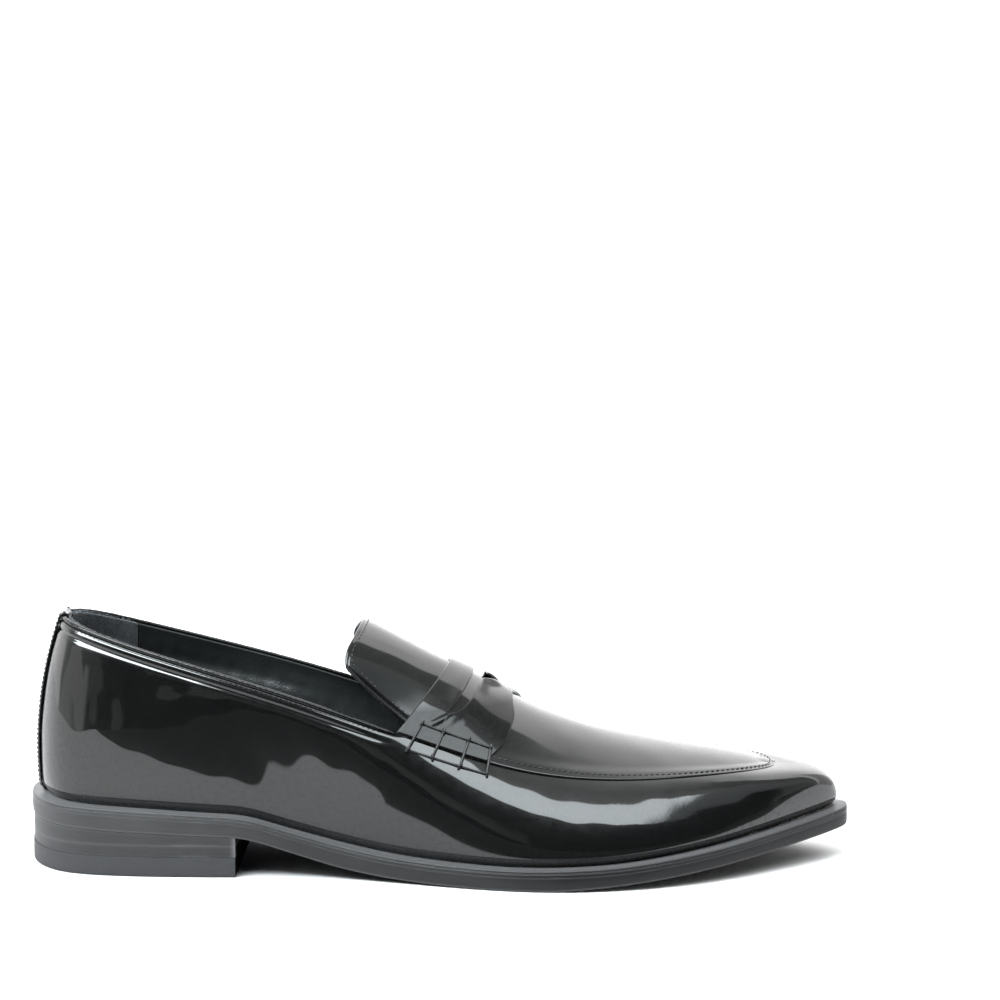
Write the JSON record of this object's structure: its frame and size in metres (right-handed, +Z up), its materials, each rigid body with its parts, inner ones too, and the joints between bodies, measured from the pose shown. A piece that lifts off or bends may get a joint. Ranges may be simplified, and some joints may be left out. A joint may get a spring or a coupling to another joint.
{
  "type": "penny loafer",
  "caption": "Slip-on dress shoe for the right foot with a low stacked heel, a slotted saddle strap laced to the upper by ladder stitching, and a liftable tongue.",
  "frame": {"origin": "on the ground, at the bottom centre of the bounding box", "axes": "+X from heel to toe, +Y towards the inner (medial) side of the foot, +Z up"},
  "size_m": [0.304, 0.1, 0.0927],
  "materials": {
    "patent_leather": "black patent leather, mirror gloss",
    "apron_leather": "black patent leather, mirror gloss",
    "strap_leather": "black patent leather, mirror gloss",
    "tongue_leather": "black patent leather, mirror gloss",
    "backstay_leather": "black patent leather, gloss",
    "binding_leather": "black leather, satin gloss",
    "waxed_thread": "black waxed cord",
    "suede": "dark blue-grey suede",
    "lining_leather": "black grained lining leather",
    "sock_leather": "black lining leather",
    "stiffener": "bonded leather board",
    "sole_leather": "charcoal-black sole leather, satin edge",
    "edge_leather": "charcoal-black edge, burnished satin",
    "lift_leather": "stacked leather, charcoal satin edge",
    "heel_rubber": "black rubber, fine matt",
    "board": "tan leather board",
    "foam": "dark foam",
    "cork": "granulated cork",
    "shank_steel": "spring steel",
    "nail_steel": "steel"
  },
  "bodies": {
    "shoe": {"outsole": "sole_leather", "welt": "edge_leather", "heel_lift_upper": "lift_leather", "heel_lift_lower": "lift_leather", "top_lift": "heel_rubber", "insole_board": "board", "sock_liner": "sock_leather", "heel_pad": "foam", "cork_filler": "cork", "shank": "shank_steel", "heel_nail_1": "nail_steel", "heel_nail_2": "nail_steel", "heel_nail_3": "nail_steel", "heel_nail_4": "nail_steel", "heel_nail_5": "nail_steel", "wall_panel": "patent_leather", "medial_quarter": "patent_leather", "topline_binding": "binding_leather", "backstay": "backstay_leather", "apron": "apron_leather", "saddle_strap": "strap_leather", "lateral_ladder_thread": "waxed_thread", "medial_ladder_thread": "waxed_thread", "heel_counter": "stiffener", "toe_puff": "stiffener", "heel_lining": "suede", "lateral_quarter_lining": "lining_leather", "medial_quarter_lining": "lining_leather", "vamp_lining": "lining_leather"},
    "tongue": {"tongue": "tongue_leather", "tongue_lining": "suede"}
  },
  "joints": [
    {"name": "tongue_lift", "type": "hinge", "parent": "shoe", "child": "tongue", "pos_m": [0.0024, 0.0025, 0.0726], "axis": [0, 1, 0], "range_deg": [-6, 30]}
  ]
}
